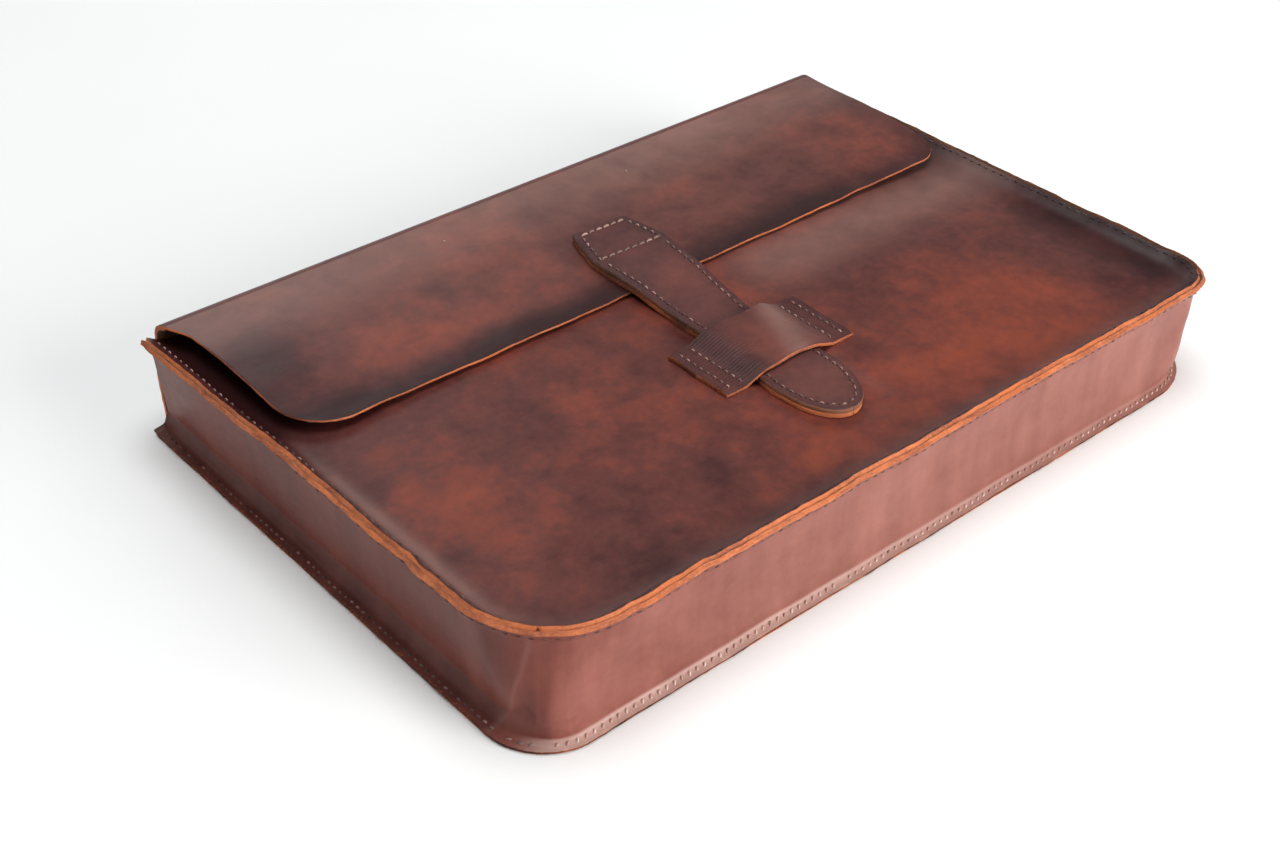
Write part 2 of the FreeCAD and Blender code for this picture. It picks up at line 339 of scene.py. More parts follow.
def make_object(name, vertices, faces, indices, materials, smooth_angle, attributes):
    mesh = bpy.data.meshes.new(name)
    mesh.from_pydata((vertices * MM).tolist(), [], faces)
    for material in materials:
        mesh.materials.append(material)
    mesh.polygons.foreach_set("material_index", np.asarray(indices, np.int32))
    mesh.polygons.foreach_set("use_smooth", np.ones(len(faces), bool))
    for key, values in attributes.items():
        kind = "FLOAT_VECTOR" if values.ndim == 2 else "FLOAT"
        layer = mesh.attributes.new(key, kind, "POINT")
        layer.data.foreach_set("vector" if values.ndim == 2 else "value", values.astype(np.float32).ravel())
    mesh.update()
    mesh.validate()
    mesh.set_sharp_from_angle(angle=math.radians(smooth_angle))
    return placed(name, mesh)


def border(rows, columns):
    """Grid places round the border, in order."""
    top = [(0, j) for j in range(columns)]
    far = [(i, columns - 1) for i in range(1, rows)]
    bottom = [(rows - 1, j) for j in range(columns - 2, -1, -1)]
    near = [(i, 0) for i in range(rows - 2, 0, -1)]
    return top + far + bottom + near


def grid_normals(grid):
    return unit(np.cross(np.gradient(grid, axis=0), np.gradient(grid, axis=1)))


def hide_piece(name, grain, flat, tone, grain_side, edge_side, edge_tone, seed, under_side=None, thin=0,
               plain_row=None, painted_sheen=0, bulge=1, rough=0.1):
    """One piece of leather: grain side, flesh side and raw cut edge, closed all round.

    flat is each point's place on the leather as it was cut. tone darkens or brightens the colour, in places
    with painted shade and painted light, and the sheen weight mixes in a paler painted sheen. The under side
    is given, or else lies the leather's thickness, less thin, below.
    The cut edge bulges and is a little rough, except along plain_row, where the piece meets another.
    """
    normals = grid_normals(grain)
    rows, columns = grain.shape[:2]
    if under_side is None:
        side = math.copysign(1, normals[rows // 2, columns // 2, 2])
        depth = np.broadcast_to(leather - thin, (rows, columns))
        under_side = grain - normals * side * depth[:, :, None]
    faces_out = float(np.sum(normals * (grain - under_side))) > 0
    loop = border(rows, columns)
    edge, under, flat_edge, edge_tones = [np.array([values[p] for p in loop])
                                          for values in (grain, under_side, flat, edge_tone)]
    inner = np.array([grain[min(max(i, 1), rows - 2), min(max(j, 1), columns - 2)] for i, j in loop])
    through = unit(edge - under)
    out = edge - inner
    out = unit(out - through * np.sum(out * through, axis=1, keepdims=True))
    plain = np.array([i == plain_row for i, _ in loop])
    draws = np.random.default_rng(seed)
    strips, coords = [], []
    for share, swell in ((0.12, 0.15), (0.36, 0.24), (0.64, 0.24), (0.93, 0.21)):
        noise = draws.uniform(-1, 1, len(loop)) * rough
        push = np.where(plain, 0, swell * bulge + noise)[:, None]
        strips.append(edge + (under - edge) * share + out * push)
        coords.append(np.column_stack([flat_edge, np.full(len(loop), -share * leather)]))
    count = rows * columns
    vertices = np.concatenate([grain.reshape(-1, 3), *strips, under_side.reshape(-1, 3)])
    upper, lower = [np.dstack([flat, np.full((rows, columns), z)]).reshape(-1, 3) for z in (0, -leather)]
    hide = np.concatenate([upper, *coords, lower]) * MM
    tones = np.concatenate([tone.ravel(), *[edge_tones] * len(strips), tone.ravel()])
    # painted sheen: how much paler colour is mixed into the grain side, given for each point
    painted_sheens = np.zeros(len(vertices))
    painted_sheens[:count] = np.ravel(painted_sheen)
    index = np.arange(count).reshape(rows, columns)
    under_start = count + len(strips) * len(loop)
    quads = np.stack([index[:-1, :-1], index[1:, :-1], index[1:, 1:], index[:-1, 1:]], -1).reshape(-1, 4)
    sheets = np.stack([quads, under_start + quads[:, ::-1]], 1).reshape(-1, 4)
    around = np.array([index[p] for p in loop])
    rings = [around, *np.arange(count, under_start).reshape(len(strips), -1), under_start + around]
    walls = [np.column_stack([ring, np.roll(ring, -1), np.roll(following, -1), following])
             for ring, following in zip(rings, rings[1:])]
    faces = np.concatenate([sheets, *walls])[:, ::1 if faces_out else -1].tolist()
    indices = np.concatenate([np.tile([0, 2], len(quads)), np.ones(len(faces) - len(sheets))])
    return make_object(name, vertices, faces, indices, [grain_side, edge_side, flesh], 42,
                       {"hide": hide, "tone": tones, "painted_sheen": painted_sheens})


def line_sampler(points):
    run = run_along(points)

    def at(where, rows):
        return np.stack([np.interp(where, run, rows[:, k]) for k in range(3)], axis=-1)

    return run[-1], at


def tube_faces(rings, sides, base=0):
    """Faces of a closed tube whose vertices stand ring after ring."""
    faces = []
    for ring in range(base, base + (rings - 1) * sides, sides):
        for k in range(sides):
            m = (k + 1) % sides
            faces.append([ring + k, ring + m, ring + sides + m, ring + sides + k])
    faces.append([base + k for k in reversed(range(sides))])
    faces.append([base + (rings - 1) * sides + k for k in range(sides)])
    return faces


def stitch_shape(length, width):
    """One stitch of twisted thread: vertices as (along, across, up), and faces."""
    rings, sides = 9, 8
    rows = []
    for t in np.linspace(-0.97, 0.97, rings):
        radius = width / 2 * math.sqrt(1 - abs(t) ** 3)
        lift = width * (0.3 - 0.62 * t * t)
        for k in range(sides):
            angle = 2 * math.pi * k / sides
            ply = radius * (1 + 0.1 * math.cos(2 * angle - 7 * t))
            rows.append((t * length / 2, ply * math.cos(angle), lift + ply * math.sin(angle)))
    return np.array(rows), tube_faces(rings, sides)


def hole_shape(size):
    """A shallow pit mark where the thread goes through, dark with painted shade."""
    sides = 8
    angles = [2 * math.pi * k / sides for k in range(sides)]
    ring = [(0.5 * size * math.cos(angle), 0.36 * size * math.sin(angle), 0) for angle in angles]
    rows = np.array(ring + [(0, 0, 0.07), (0, 0, -0.1)])
    faces = []
    for k in range(sides):
        m = (k + 1) % sides
        faces.append([k, m, sides])
        faces.append([m, k, sides + 1])
    return rows, faces


def stitch_piece(name, runs, seed, pitch=4.2, width=0.75, holes=0.95):
    """Stitches along runs of (points, normals, length, slant, lightness), with a hole mark between them;
    lightness paints shade and light on whole runs.
    """
    draws = np.random.default_rng(seed)
    vertices, faces, indices, tones = [], [], [], []
    total = 0

    def put(shape, centre, along, up, index, tone):
        nonlocal total
        rows, shape_faces = shape
        across = np.cross(up, along)
        vertices.append(centre + rows[:, :1] * along + rows[:, 1:2] * across + rows[:, 2:] * up)
        faces.extend([[total + k for k in face] for face in shape_faces])
        indices.extend([index] * len(shape_faces))
        tones.append(np.full(len(rows), tone))
        total += len(rows)

    hole = hole_shape(holes)
    for points, normals, length, slant, light in runs:
        whole, at = line_sampler(points)
        count = max(1, round(whole / pitch))
        for k in range(count):
            middle = (k + 0.5) * whole / count
            here = at(middle, points)
            ahead = at(min(middle + 1, whole), points) - at(max(middle - 1, 0), points)
            up = unit(at(middle, normals))
            along = unit(ahead - up * float(ahead @ up))
            lean = math.radians(slant + draws.uniform(-4, 4))
            along = along * math.cos(lean) + np.cross(up, along) * math.sin(lean)
            shape = stitch_shape(length * draws.uniform(0.92, 1.06), width * draws.uniform(0.92, 1.08))
            shift = np.cross(up, along) * draws.uniform(-0.12, 0.12)
            put(shape, here + shift, along, up, 0, light + draws.uniform(-0.5, 0.5))
            if k:
                start = k * whole / count
                put(hole, at(start, points), along, unit(at(start, normals)), 1, 0)
    rows = np.concatenate(vertices)
    return make_object(name, rows, faces, indices, [thread, painted_hole_shade], 60,
                       {"hide": rows * MM, "tone": np.concatenate(tones)})


def fibre_piece(name, points, outward, count, seed):
    """Loose leather fibres standing out of a raw edge."""
    draws = np.random.default_rng(seed)
    whole, at = line_sampler(points)
    rings, sides = 4, 3
    upright = np.array([0, 0, 1])
    vertices, faces = [], []
    for n in range(count):
        where = draws.uniform(0, whole)
        root = at(where, points) + np.array([0, 0, draws.uniform(-1.4, 1.2)])
        out = unit(at(where, outward))
        along = np.array([-out[1], out[0], 0])
        way = unit(out + along * draws.uniform(-1.1, 1.1) + np.array([0, 0, draws.uniform(-0.35, 0.25)]))
        bend = along * draws.uniform(-0.5, 0.5)
        length = draws.uniform(0.7, 1.3) * draws.choice([1, 1, 1.7])
        for r in range(rings):
            t = r / (rings - 1)
            spot = root - out * 0.2 + way * length * t + bend * length * t * t
            spot[2] = max(spot[2], 0.15)
            radius = 0.075 * (1 - 0.8 * t)
            for k in range(sides):
                angle = 2 * math.pi * k / sides
                vertices.append(spot + radius * (math.cos(angle) * along + math.sin(angle) * upright))
        faces += tube_faces(rings, sides, n * rings * sides)
    rows = np.array(vertices)
    return make_object(name, rows, faces, [0] * len(faces), [orange_edge], 60,
                       {"hide": rows * MM, "tone": np.zeros(len(rows))})


# ---- materials ----

class Nodes:
    """A material's node tree, written as one line per node."""

    def __init__(self, name):
        self.material = bpy.data.materials.new(name)
        self.material.use_nodes = True
        self.tree = self.material.node_tree
        self.shader = self.tree.nodes["Principled BSDF"]

    def put(self, target, value):
        if isinstance(value, bpy.types.NodeSocket):
            self.tree.links.new(value, target)
        else:
            target.default_value = value

    def add(self, kind, inputs, output=0, **settings):
        made = self.tree.nodes.new(kind)
        for key, value in settings.items():
            setattr(made, key, value)
        for key, value in inputs.items():
            self.put(made.inputs[key], value)
        return made.outputs[output]

    def attribute(self, key, output):
        return self.add("ShaderNodeAttribute", {}, output, attribute_name=key)

    def maths(self, operation, first, second=0, clamp=False):
        return self.add("ShaderNodeMath", {0: first, 1: second}, operation=operation, use_clamp=clamp)

    def noise(self, vector, scale, detail=3, rough=0.5, twist=0):
        inputs = {"Vector": vector, "Scale": scale, "Detail": detail, "Roughness": rough, "Distortion": twist}
        return self.add("ShaderNodeTexNoise", inputs, "Fac")

    def stretched(self, vector, scale, shift=(0, 0, 0)):
        return self.add("ShaderNodeMapping", {"Vector": vector, "Scale": scale, "Location": shift}, "Vector")

    def ramp(self, value, stops):
        made = self.tree.nodes.new("ShaderNodeValToRGB")
        self.tree.links.new(value, made.inputs["Fac"])
        elements = made.color_ramp.elements
        while len(elements) < len(stops):
            elements.new(0.5)
        for element, (place, colour) in zip(elements, stops):
            element.position = place
            element.color = (*colour, 1)
        return made.outputs["Color"]

    def mix(self, share, first, second):
        inputs = {"Factor": share, "A": first, "B": second}
        return self.add("ShaderNodeMix", inputs, "Result", data_type="RGBA")

    def bump(self, height, strength, distance, normal=None):
        inputs = {"Height": height, "Strength": strength, "Distance": distance}
        if normal is not None:
            inputs["Normal"] = normal
        return self.add("ShaderNodeBump", inputs, "Normal")

    def finish(self, **inputs):
        for key, value in inputs.items():
            self.put(self.shader.inputs[key.replace("_", " ")], value)
        return self.material


def sum_of(nodes, start, parts):
    """start plus each part's weight times (value - 0.5)."""
    total = start
    for value, weight in parts:
        centred = nodes.maths("SUBTRACT", value, 0.5)
        scaled = nodes.maths("MULTIPLY", centred, weight)
        total = nodes.maths("ADD", total, scaled)
    return total


def grain_leather(name, stops, shift, cloud=0.75, fine=1, streak=0, specks=False, roughness=0.42, shine=0.3,
                  painted_sheen_colour=(0.29, 0.165, 0.14)):
    """Oiled pull-up leather: clouded colour, darker where handled and where shade is painted, a painted paler
    sheen, fine pores, a soft waxy gloss.
    """
    nodes = Nodes(name)
    where = nodes.stretched(nodes.attribute("hide", "Vector"), (1, 1, 1), shift)
    tone = nodes.attribute("tone", "Fac")
    clouds = nodes.noise(where, 17, 4, 0.55, 0.5)
    blotches = nodes.noise(where, 62, 4, 0.6, 0.3)
    mottle = nodes.noise(where, 260, 3, 0.6)
    parts = [(clouds, cloud), (blotches, 0.55 * fine), (mottle, 0.28 * fine)]
    if streak:
        rubbed = nodes.stretched(where, (70, 7, 1))
        parts.append((nodes.noise(rubbed, 1, 3, 0.6), streak))
    # tone darkens and lightens the colour: handled darkening and, in places, painted shade and painted light
    value = nodes.maths("ADD", sum_of(nodes, 0.5, parts), tone)
    # painted sheen: a paler grey-pink colour mixed in by each point's sheen weight
    painted_sheen = nodes.attribute("painted_sheen", "Fac")
    sheen_share = nodes.maths("MULTIPLY", painted_sheen, sum_of(nodes, 1, [(blotches, 0.8)]), clamp=True)
    colour = nodes.mix(sheen_share, nodes.ramp(value, stops), (*painted_sheen_colour, 1))
    if specks:
        dots = nodes.add("ShaderNodeTexVoronoi", {"Vector": where, "Scale": 30}, "Distance")
        dot = nodes.maths("LESS_THAN", dots, 0.013)
        colour = nodes.mix(nodes.maths("MULTIPLY", dot, 0.55), colour, (0.62, 0.5, 0.44, 1))
    scuffs = nodes.noise(nodes.stretched(where, (1, 3.5, 1)), 120, 4, 0.65, 0.4)
    waxed = nodes.maths("MULTIPLY", nodes.maths("MINIMUM", tone, 0), 0.12)
    gloss = sum_of(nodes, roughness, [(scuffs, 0.22), (blotches, 0.18)])
    gloss = nodes.maths("MAXIMUM", nodes.maths("ADD", gloss, waxed), 0.33)
    pore = nodes.add("ShaderNodeTexVoronoi", {"Vector": where, "Scale": 1150}, "Distance")
    crease = nodes.noise(where, 420, 5, 0.6, 0.8)
    waves = nodes.noise(where, 55, 2, 0.5)
    relief = sum_of(nodes, 0.5, [(pore, 0.35), (crease, 0.8)])
    normal = nodes.bump(waves, 0.35, 0.0012)
    normal = nodes.bump(relief, 0.3, 0.00016, normal)
    return nodes.finish(Base_Color=colour, Roughness=gloss, Normal=normal, Coat_Weight=0.03,
                        Coat_Roughness=0.32, Specular_IOR_Level=shine)


def cut_edge(name, stops, blush):
    """The raw cut through the leather: fibres that run along the edge, darker where wax has soaked in."""
    nodes = Nodes(name)
    where = nodes.attribute("hide", "Vector")
    fibres = nodes.noise(nodes.stretched(where, (700, 700, 1300)), 1, 4, 0.65, 0.6)
    patches = nodes.noise(where, 46, 4, 0.6)
    layers = nodes.noise(nodes.stretched(where, (30, 30, 1200)), 1, 2, 0.5)
    grime = nodes.maths("MULTIPLY", nodes.attribute("tone", "Fac"), 1.3)
    value = nodes.maths("ADD", sum_of(nodes, 0.72, [(fibres, 0.6), (patches, 0.9), (layers, 0.1)]), grime)
    share = nodes.maths("MULTIPLY", nodes.maths("SUBTRACT", nodes.noise(where, 23), 0.5), 3, clamp=True)
    colour = nodes.mix(share, nodes.ramp(value, stops), blush)
    normal = nodes.bump(fibres, 0.7, 0.00035)
    return nodes.finish(Base_Color=colour, Roughness=0.72, Normal=normal, Specular_IOR_Level=0.25)


def flesh_side():
    """The unfinished back of the leather: matt, short loose nap."""
    nodes = Nodes("flesh_side")
    where = nodes.attribute("hide", "Vector")
    nap = nodes.noise(where, 900, 4, 0.7, 1)
    patches = nodes.noise(where, 28, 4, 0.6)
    value = sum_of(nodes, 0.5, [(nap, 0.8), (patches, 0.7)])
    colour = nodes.ramp(value, [(0.15, (0.055, 0.022, 0.013)), (0.55, (0.13, 0.055, 0.03)),
                                (0.9, (0.24, 0.11, 0.06))])
    return nodes.finish(Base_Color=colour, Roughness=0.95, Normal=nodes.bump(nap, 0.8, 0.0004),
                        Specular_IOR_Level=0.15, Sheen_Weight=0.2)


def waxed_thread(stops):
    """Thick waxed thread, each stitch a little lighter or darker than the next, and whole runs darker with
    painted shade and lighter with painted light.
    """
    nodes = Nodes("waxed_thread")
    where = nodes.attribute("hide", "Vector")
    fibre = nodes.noise(where, 2600, 3, 0.6)
    grime = nodes.noise(where, 40, 3, 0.6)
    value = sum_of(nodes, 0.5, [(fibre, 0.5), (grime, 0.8)])
    own_tone = nodes.maths("MULTIPLY", nodes.attribute("tone", "Fac"), 0.5)
    colour = nodes.ramp(nodes.maths("ADD", value, own_tone), stops)
    return nodes.finish(Base_Color=colour, Roughness=0.55, Normal=nodes.bump(fibre, 0.4, 0.0001))


def pit_mark():
    """The inside of an awl hole, painted dark as shade."""
    nodes = Nodes("painted_hole_shade")
    shade_noise = nodes.noise(nodes.attribute("hide", "Vector"), 1500)
    colour = nodes.ramp(shade_noise, [(0.3, (0.006, 0.003, 0.002)), (0.7, (0.02, 0.009, 0.006))])
    return nodes.finish(Base_Color=colour, Roughness=0.8)


hide_stops = [(0, (0.026, 0.006, 0.0062)), (0.28, (0.056, 0.013, 0.012)), (0.5, (0.11, 0.026, 0.02)),
              (0.72, (0.2, 0.04, 0.022)), (1, (0.28, 0.052, 0.016))]
strap_stops = [(0, (0.018, 0.0065, 0.007)), (0.35, (0.062, 0.022, 0.022)), (0.65, (0.126, 0.038, 0.031)),
               (1, (0.21, 0.06, 0.046))]
gusset_stops = [(0, (0.04, 0.011, 0.0095)), (0.28, (0.095, 0.025, 0.019)), (0.55, (0.195, 0.056, 0.042)),
                (0.8, (0.32, 0.115, 0.088)), (1, (0.42, 0.16, 0.12))]

hide_grain = grain_leather("hide_grain", hide_stops, (0, 0, 0), specks=True)
panel_grain = grain_leather("panel_grain", hide_stops, (3.1, 1.7, 0.4), specks=True)
# the gusset's painted sheen colour is a paler pink
gusset_grain = grain_leather("gusset_grain", gusset_stops, (1.3, 5.2, 0.7), cloud=0.26, fine=0.4, streak=0.34,
                             roughness=0.4, shine=0.2, painted_sheen_colour=(0.52, 0.33, 0.28))
strap_grain = grain_leather("strap_grain", strap_stops, (6.1, 2.9, 0.2), cloud=0.45, roughness=0.44)
keeper_grain = grain_leather("keeper_grain", strap_stops, (8.4, 4.4, 0.9), cloud=0.4, streak=0.3, shine=0.08)
edge_stops = [(0.05, (0.022, 0.01, 0.007)), (0.32, (0.1, 0.032, 0.02)), (0.55, (0.26, 0.075, 0.038)),
              (0.9, (0.64, 0.195, 0.075))]
orange_edge = cut_edge("orange_edge", edge_stops, (0.5, 0.12, 0.03, 1))
brown_edge = cut_edge("brown_edge", [(0.1, (0.024, 0.012, 0.008)), (0.5, (0.075, 0.034, 0.024)),
                                     (0.9, (0.3, 0.13, 0.075))], (0.15, 0.06, 0.032, 1))
flesh = flesh_side()
thread = waxed_thread([(0, (0.03, 0.014, 0.012)), (0.35, (0.16, 0.09, 0.075)), (0.75, (0.42, 0.25, 0.2)),
                       (1, (0.6, 0.42, 0.37))])
painted_hole_shade = pit_mark()


def dress(made, body, slot, *nodes_replaced):
    """Attach a piece to a body and hide the CAD nodes it stands for; slot is not used."""
    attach(made, body)
    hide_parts(*nodes_replaced)


# ---- back panel, spine and flap: one hide, made as two pieces that meet in mid-spine ----

def blotch(x, y, spots):
    """Listed darker and brighter patches: (x, y, size, strength)."""
    return sum(strength * hump(np.hypot(x - u, y - v), 0, size) for u, v, size, strength in spots)


near_edge = [0, 0.6, 1.2, 1.8, 2.3, 2.75, 3.2, 3.65, 4.1, 4.7, 5.5, 6.5, 8, 10, 13]


def lower_hide():
    """Back panel on the table, and the spine up to its middle."""
    path = [*hide_path[:2], (back, spine_split, 0)]
    arc_from = back - hide_path[1][2] - front
    spots, lefts, run = bent_line(path, 1.5)
    set_in = 0.5
    seam_in = 3.2
    flat_rows = set_in + from_edge(arc_from - set_in, near_edge, 6)[:-1]
    rows = np.concatenate([flat_rows, run[run > arc_from - 0.01]])
    side = right - set_in
    columns = spaced(side, near_edge, 6)
    y, z, across, up = [spread(np.interp(rows, run, values), len(columns)) for values in (*spots.T, *lefts.T)]
    half = side - (side - spine_half) * past(rows, mouth_y - 1 - front, 2.5)
    x = columns * half[:, None] / side
    x, y = round_corners(x, y, side, front + set_in, [radius - set_in for radius in base_radii])
    distance, _, _, _ = inset(x, y, base_radii)
    groove = 0.55 * hump(distance, seam_in, 0.75) * (y < mouth_y) * (z < 1)
    y = y + spine_bow(z)
    grain = np.dstack([x, y, z + groove])
    inward = unit(np.dstack([np.zeros_like(x), across, up]))
    skived = (1 - past(distance, 2.5, 4.5)) * past(y, mouth_y + 4, -4) * (z < 1)
    under_side = np.dstack([x, y, z]) + inward * (leather - 1.25 * skived)[:, :, None]
    flat = np.dstack([x, spread(rows, len(columns))])
    side_gap = np.minimum(side - np.abs(x), 40)
    tone = -0.25 * np.exp(-np.minimum(distance, side_gap) / 12) - 0.1
    edge_tone = np.where(z > 4, 0.14, -0.22 + 0.2 * past(x, -150, 60))
    made = hide_piece("back_panel_and_lower_spine", grain, flat, tone, hide_grain, orange_edge, edge_tone, 21,
                      under_side, plain_row=len(rows) - 1)
    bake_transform(made)
    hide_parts("back_panel")
    return run[-1]


def upper_hide(run_before):
    """The spine from its middle up, the upper fold and the flap."""
    path = [(back, spine_split, 0), *hide_path[2:]]
    spots, _, run = bent_line(path, 2.4, 6)
    length = run[-1]
    tail = length - np.array(near_edge)[::-1]
    rows = np.concatenate([run[run < tail[0] - 1], tail])
    columns = spaced(1, [gap / flap_half for gap in near_edge], 3.4 / flap_half)
    y, z = [spread(np.interp(rows, run, values), len(columns)) for values in spots.T]
    flat_part = spread(rows > length - (back - 8 - flap_edge_y), len(columns))
    on_fold = np.interp(z, [spine_split, 44], [spine_half, flap_half])
    above = flat_part | (z > 44)
    # the flap's front corners are drawn in from its full width, the left one more
    half_left = np.where(above, 167.6 + 5.4 * past(y, 100, 17), on_fold)
    half_right = np.where(above, 171 + 2 * past(y, 80, 36), on_fold)
    corner = flap_half - 6
    x = np.tile(columns * corner, (len(rows), 1))
    x, y = round_corners(x, y, corner, flap_edge_y, (22, 15))
    half = np.where(x < 0, half_left, half_right)
    x = x * half / corner
    z = np.where(flat_part, flap_top(x, y), z)
    on_spine = ~flat_part
    y = y + spine_bow(z) * on_spine
    edge_wave = 0.35 * sines(x, (61, 37, 19), 8)
    y = y + edge_wave * hump(y, flap_edge_y, 8) * flat_part
    grain = np.dstack([x, y, z])
    flat = np.dstack([x, run_before + spread(rows, len(columns))])
    side_gap = half - np.abs(x)
    edge_gap = np.maximum(y - flap_edge_y, 0)
    left_end = past(x, -118, -36) * past(y, 96, -26)
    tone = -0.16 * np.exp(-side_gap / 10) - 0.2 * left_end
    near_strap = 0.12 * hump(x, -68, 50) + 0.02 * hump(x, 62, 46)
    band = 0.52 + near_strap - 0.2 * past(x, 70, 70)
    tone -= flat_part * band * hump(edge_gap, 0, 11)
    # painted sheen on the flap: faint all over, rising towards the fold and the right, kept off the front
    # edge and the left end
    painted_sheen = flat_part * ((0.34 + 0.12 * past(x, 0, 80)) * past(y, 66, 46) + 0.12)
    painted_sheen *= (1 - 0.9 * hump(edge_gap, 0, 22)) * (1 - 0.25 * past(x, 90, 60))
    painted_sheen *= 1 - 0.8 * left_end
    edge_tone = np.where(side_gap < 1, -0.14 + 0.2 * past(y, 90, 15), -0.02)
    from_cut = np.minimum(length - rows[:, None], flap_half * (1 - np.abs(columns)))
    thin = 1.05 * hump(from_cut, 0, 2.4) * flat_part
    tone += flat_part * blotch(x, y, [
        (-75, 26, 40, -0.06), (60, 28, 36, -0.05), (-158, 72, 26, -0.14), (-125, 70, 30, 0.06),
        (-95, 42, 26, 0.12), (-75, 71, 9, -0.22), (-20, 76, 34, 0.1),
        (40, 95, 40, -0.08), (100, 62, 30, -0.06), (30, 60, 16, -0.1), (128, 36, 26, 0.06)])
    made = hide_piece("flap_and_upper_spine", grain, flat, tone, hide_grain, orange_edge, edge_tone, 22,
                      thin=thin, plain_row=0, painted_sheen=painted_sheen)
    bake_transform(made)
    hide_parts("spine_panel", "flap_panel")


upper_hide(lower_hide())


# ---- front panel ----

def rim_edge_tone(station):
    """The sewn rim's raw edge: unchanged along the left side, a little lighter round the near corner and
    again towards the right end.
    """
    return np.interp(station, [90, 200, 250, 420, marks[5]], [0, 0.02, 0.05, 0, 0.06])


def front_leather():
    """The front panel, pressed up at the sewn rim and pillowed inside it."""
    rim_near = [0, 0.5, 1.1, 1.7, 2.26, 2.8, 3.4, 4, 4.7, 5.4, 6.2, 7.2, 8.5, 10, 12, 14.5]
    half = right - rim_inset
    columns = spaced(half, rim_near, 3.2)
    mouth_gap = 1.3
    rows = front + rim_inset + from_edge(mouth_y - mouth_gap - front - rim_inset, rim_near, 3.2)
    x, y = np.meshgrid(columns, rows)
    x, y = round_corners(x, y, half, front + rim_inset, [radius - rim_inset for radius in rim_radii])
    distance, station, out_x, out_y = inset(x, y, rim_radii)
    out, _ = rim_sway(station)
    hold = fading(distance - rim_inset, 4)
    on_right = past(station, marks[3] + 4, 40)
    drawn_in = (leaned(rim_inset, rim_top, station)[0] - rim_inset + 0.9 * on_right) * hold
    x, y = x - out_x * drawn_in, y - out_y * drawn_in
    z = panel_top(x, y)
    pared = fading(distance - rim_inset, 1.3)
    grain = np.dstack([x + out_x * out * hold, y + out_y * out * hold, z - 0.36 * pared])
    flat = np.dstack([x, y])
    # darker within a few millimetres of the rim: partly handled darkening, partly painted shade in the valley
    # below the rim
    tone = -0.3 * fading(distance - rim_inset, 7)
    # darker along the right side: partly dye, partly painted shade on the slope up to the rim
    tone -= on_right * 0.12 * past(distance, 30, -16)
    on_left = past(station, marks[1] + 20, -30) * past(distance, 40, -20)
    # painted shade under the flap at the left end of the mouth, kept off the rim itself
    mouth_shade = past(x, -112, -44) * past(y, 18, 34)
    tone -= 0.55 * mouth_shade * past(distance, 5.2, 2)
    # painted sheen: a pale band in the valley inside the left rim, a fainter one inside the near rim, and a
    # soft-lit patch right of the strap by the flap's edge
    painted_sheen = 0.42 * on_left * hump(distance, 10.5, 3) * past(station, 90, 50)
    painted_sheen += 0.12 * hump(distance, 11, 3) * (1 - on_left) * (1 - on_right)
    painted_sheen += 0.38 * hump(y, 8, 18) * past(x, 14, 40)
    tone += blotch(x, y, [
        (88, -78, 40, 0.26), (45, -95, 30, 0.2), (172, -40, 30, -0.3), (160, -85, 26, -0.3),
        (172, 20, 24, -0.14), (120, 12, 50, -0.05), (-65, -79, 8, -0.28), (-38, -80, 12, -0.12),
        (-132, -98, 24, -0.14), (-100, -104, 20, -0.04), (-150, -34, 24, 0.14),
        (-30, -92, 24, 0.2), (-58, -56, 26, 0.1), (-105, -20, 24, -0.08), (-20, 10, 26, 0.12),
        (-165, 40, 30, -0.22), (-150, -78, 16, 0.16), (30, 14, 20, -0.1)])
    # painted shade under the strap and just beside its edges
    under_strap_shade = past(np.abs(x - strap_axis_x), 16, -8)
    tone -= 0.1 * under_strap_shade * past(y, 14, -20) * past(y, -94, 10)
    made = hide_piece("front_panel_leather", grain, flat, tone, panel_grain, orange_edge,
                      rim_edge_tone(station), 23, thin=-0.12 * pared, painted_sheen=painted_sheen, bulge=0, rough=0.24)
    dress(made, "root", "front_leather", "front_panel")


front_leather()


# ---- gusset ----

rim_path = [(5.2, 27, 60), (4.2, 40.2, 1.5), (0.54, 43.83, 0)]
flared_foot = bent_line([(0, 1.7, 0), (4.8, 2.6, 2), (7, 8.6, 4), *rim_path], 1.6, 9)
tucked_foot = bent_line([(0, 1.4, 0), (3.6, 2, 3), (4.4, 12, 40), *rim_path], 1.6, 9)
gusset_run_in = flared_foot[2]


def matched(line):
    """A section line read at the places of the flared one; both share their last stretch, up to the rim."""
    spots, lefts, run = line
    shared = 21
    from_rim = gusset_run_in[-1] - gusset_run_in
    stretch = (run[-1] - shared) / (gusset_run_in[-1] - shared)
    from_rim = np.where(from_rim > shared, shared + (from_rim - shared) * stretch, from_rim)
    place = run[-1] - from_rim
    return [np.column_stack([np.interp(place, run, rows[:, k]) for k in range(2)]) for rows in (spots, lefts)]


tucked_spots, tucked_lefts = matched(tucked_foot)


def gusset_section(station, run):
    """Inward place, height and grain-side normal on the gusset's section, one row for each station."""
    tucked = past(station, marks[1] + 6, 26)
    values = []
    for flared, other in ((flared_foot[0], tucked_spots), (flared_foot[1], tucked_lefts)):
        for k in range(2):
            first = np.interp(run, gusset_run_in, flared[:, k])
            second = np.interp(run, gusset_run_in, other[:, k])
            values.append(first + (second - first) * tucked)
    return values


def corner_ridge(height):
    """Station of the slanting crease on the left of the near corner."""
    return marks[1] + np.interp(height, [4, 11, 15, 21, 27, 32, 38], [0, 0.5, 4, 10, 13.75, 15.25, 16.75])


